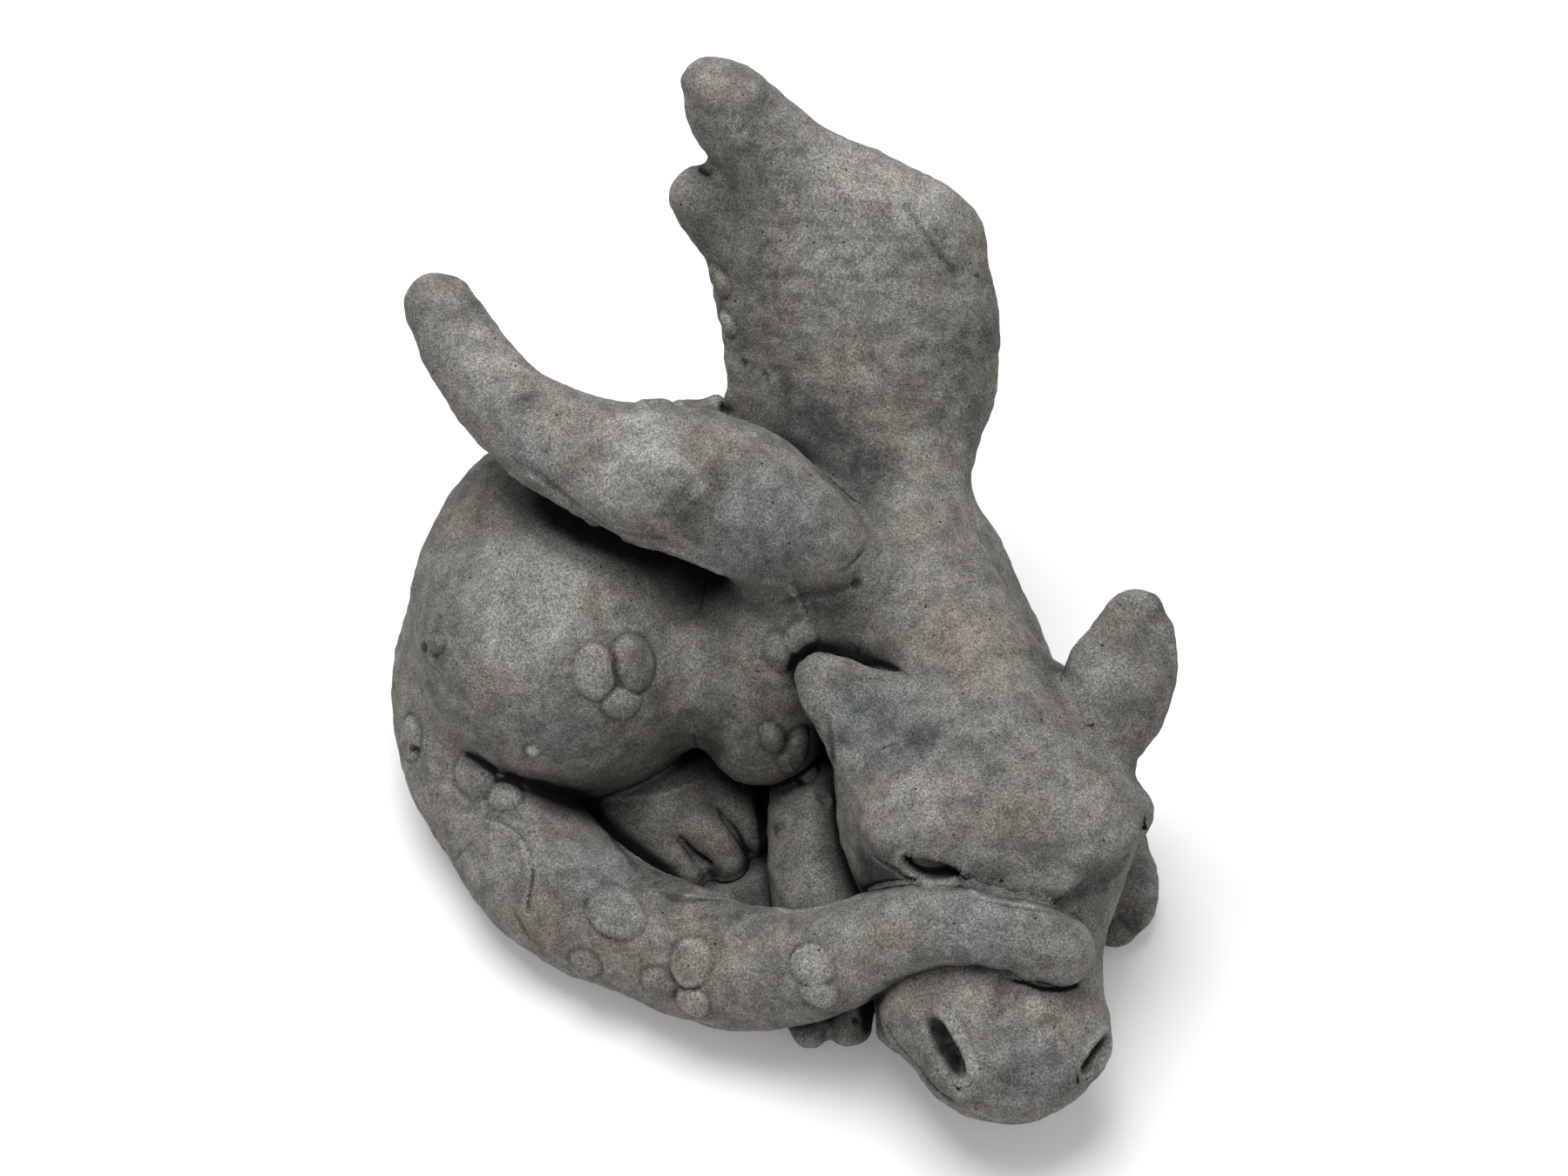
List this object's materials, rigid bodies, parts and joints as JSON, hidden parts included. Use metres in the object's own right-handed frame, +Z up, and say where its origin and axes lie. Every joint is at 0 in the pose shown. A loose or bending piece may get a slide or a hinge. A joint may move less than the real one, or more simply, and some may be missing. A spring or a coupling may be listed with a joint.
{
  "type": "dragon figurine",
  "caption": "Curled, sleeping dragon figurine in cast stone with raised wings, the tail laid over its snout and a flat underside to stand on.",
  "frame": {"origin": "middle of the object's box in plan, on the surface it stands on", "axes": "+Z up, -Y towards the snout and the viewer of the picture, +X towards the right of the picture"},
  "size_m": [0.2222, 0.2304, 0.1953],
  "materials": {
    "cast_stone": "matt, weathered, dry brushed"
  },
  "bodies": {
    "root": {"base": "cast_stone", "trunk": "cast_stone", "right_thigh": "cast_stone", "left_thigh": "cast_stone", "tail": "cast_stone", "neck": "cast_stone", "right_eye": "cast_stone", "head": "cast_stone", "snout": "cast_stone", "lower_jaw": "cast_stone", "right_upper_arm": "cast_stone", "left_upper_arm": "cast_stone", "right_forearm": "cast_stone", "left_forearm": "cast_stone", "right_hand": "cast_stone", "left_hand": "cast_stone", "right_hind_foot": "cast_stone", "left_hind_foot": "cast_stone", "right_wing": "cast_stone", "left_wing": "cast_stone", "right_ear": "cast_stone", "left_ear": "cast_stone"}
  },
  "joints": []
}
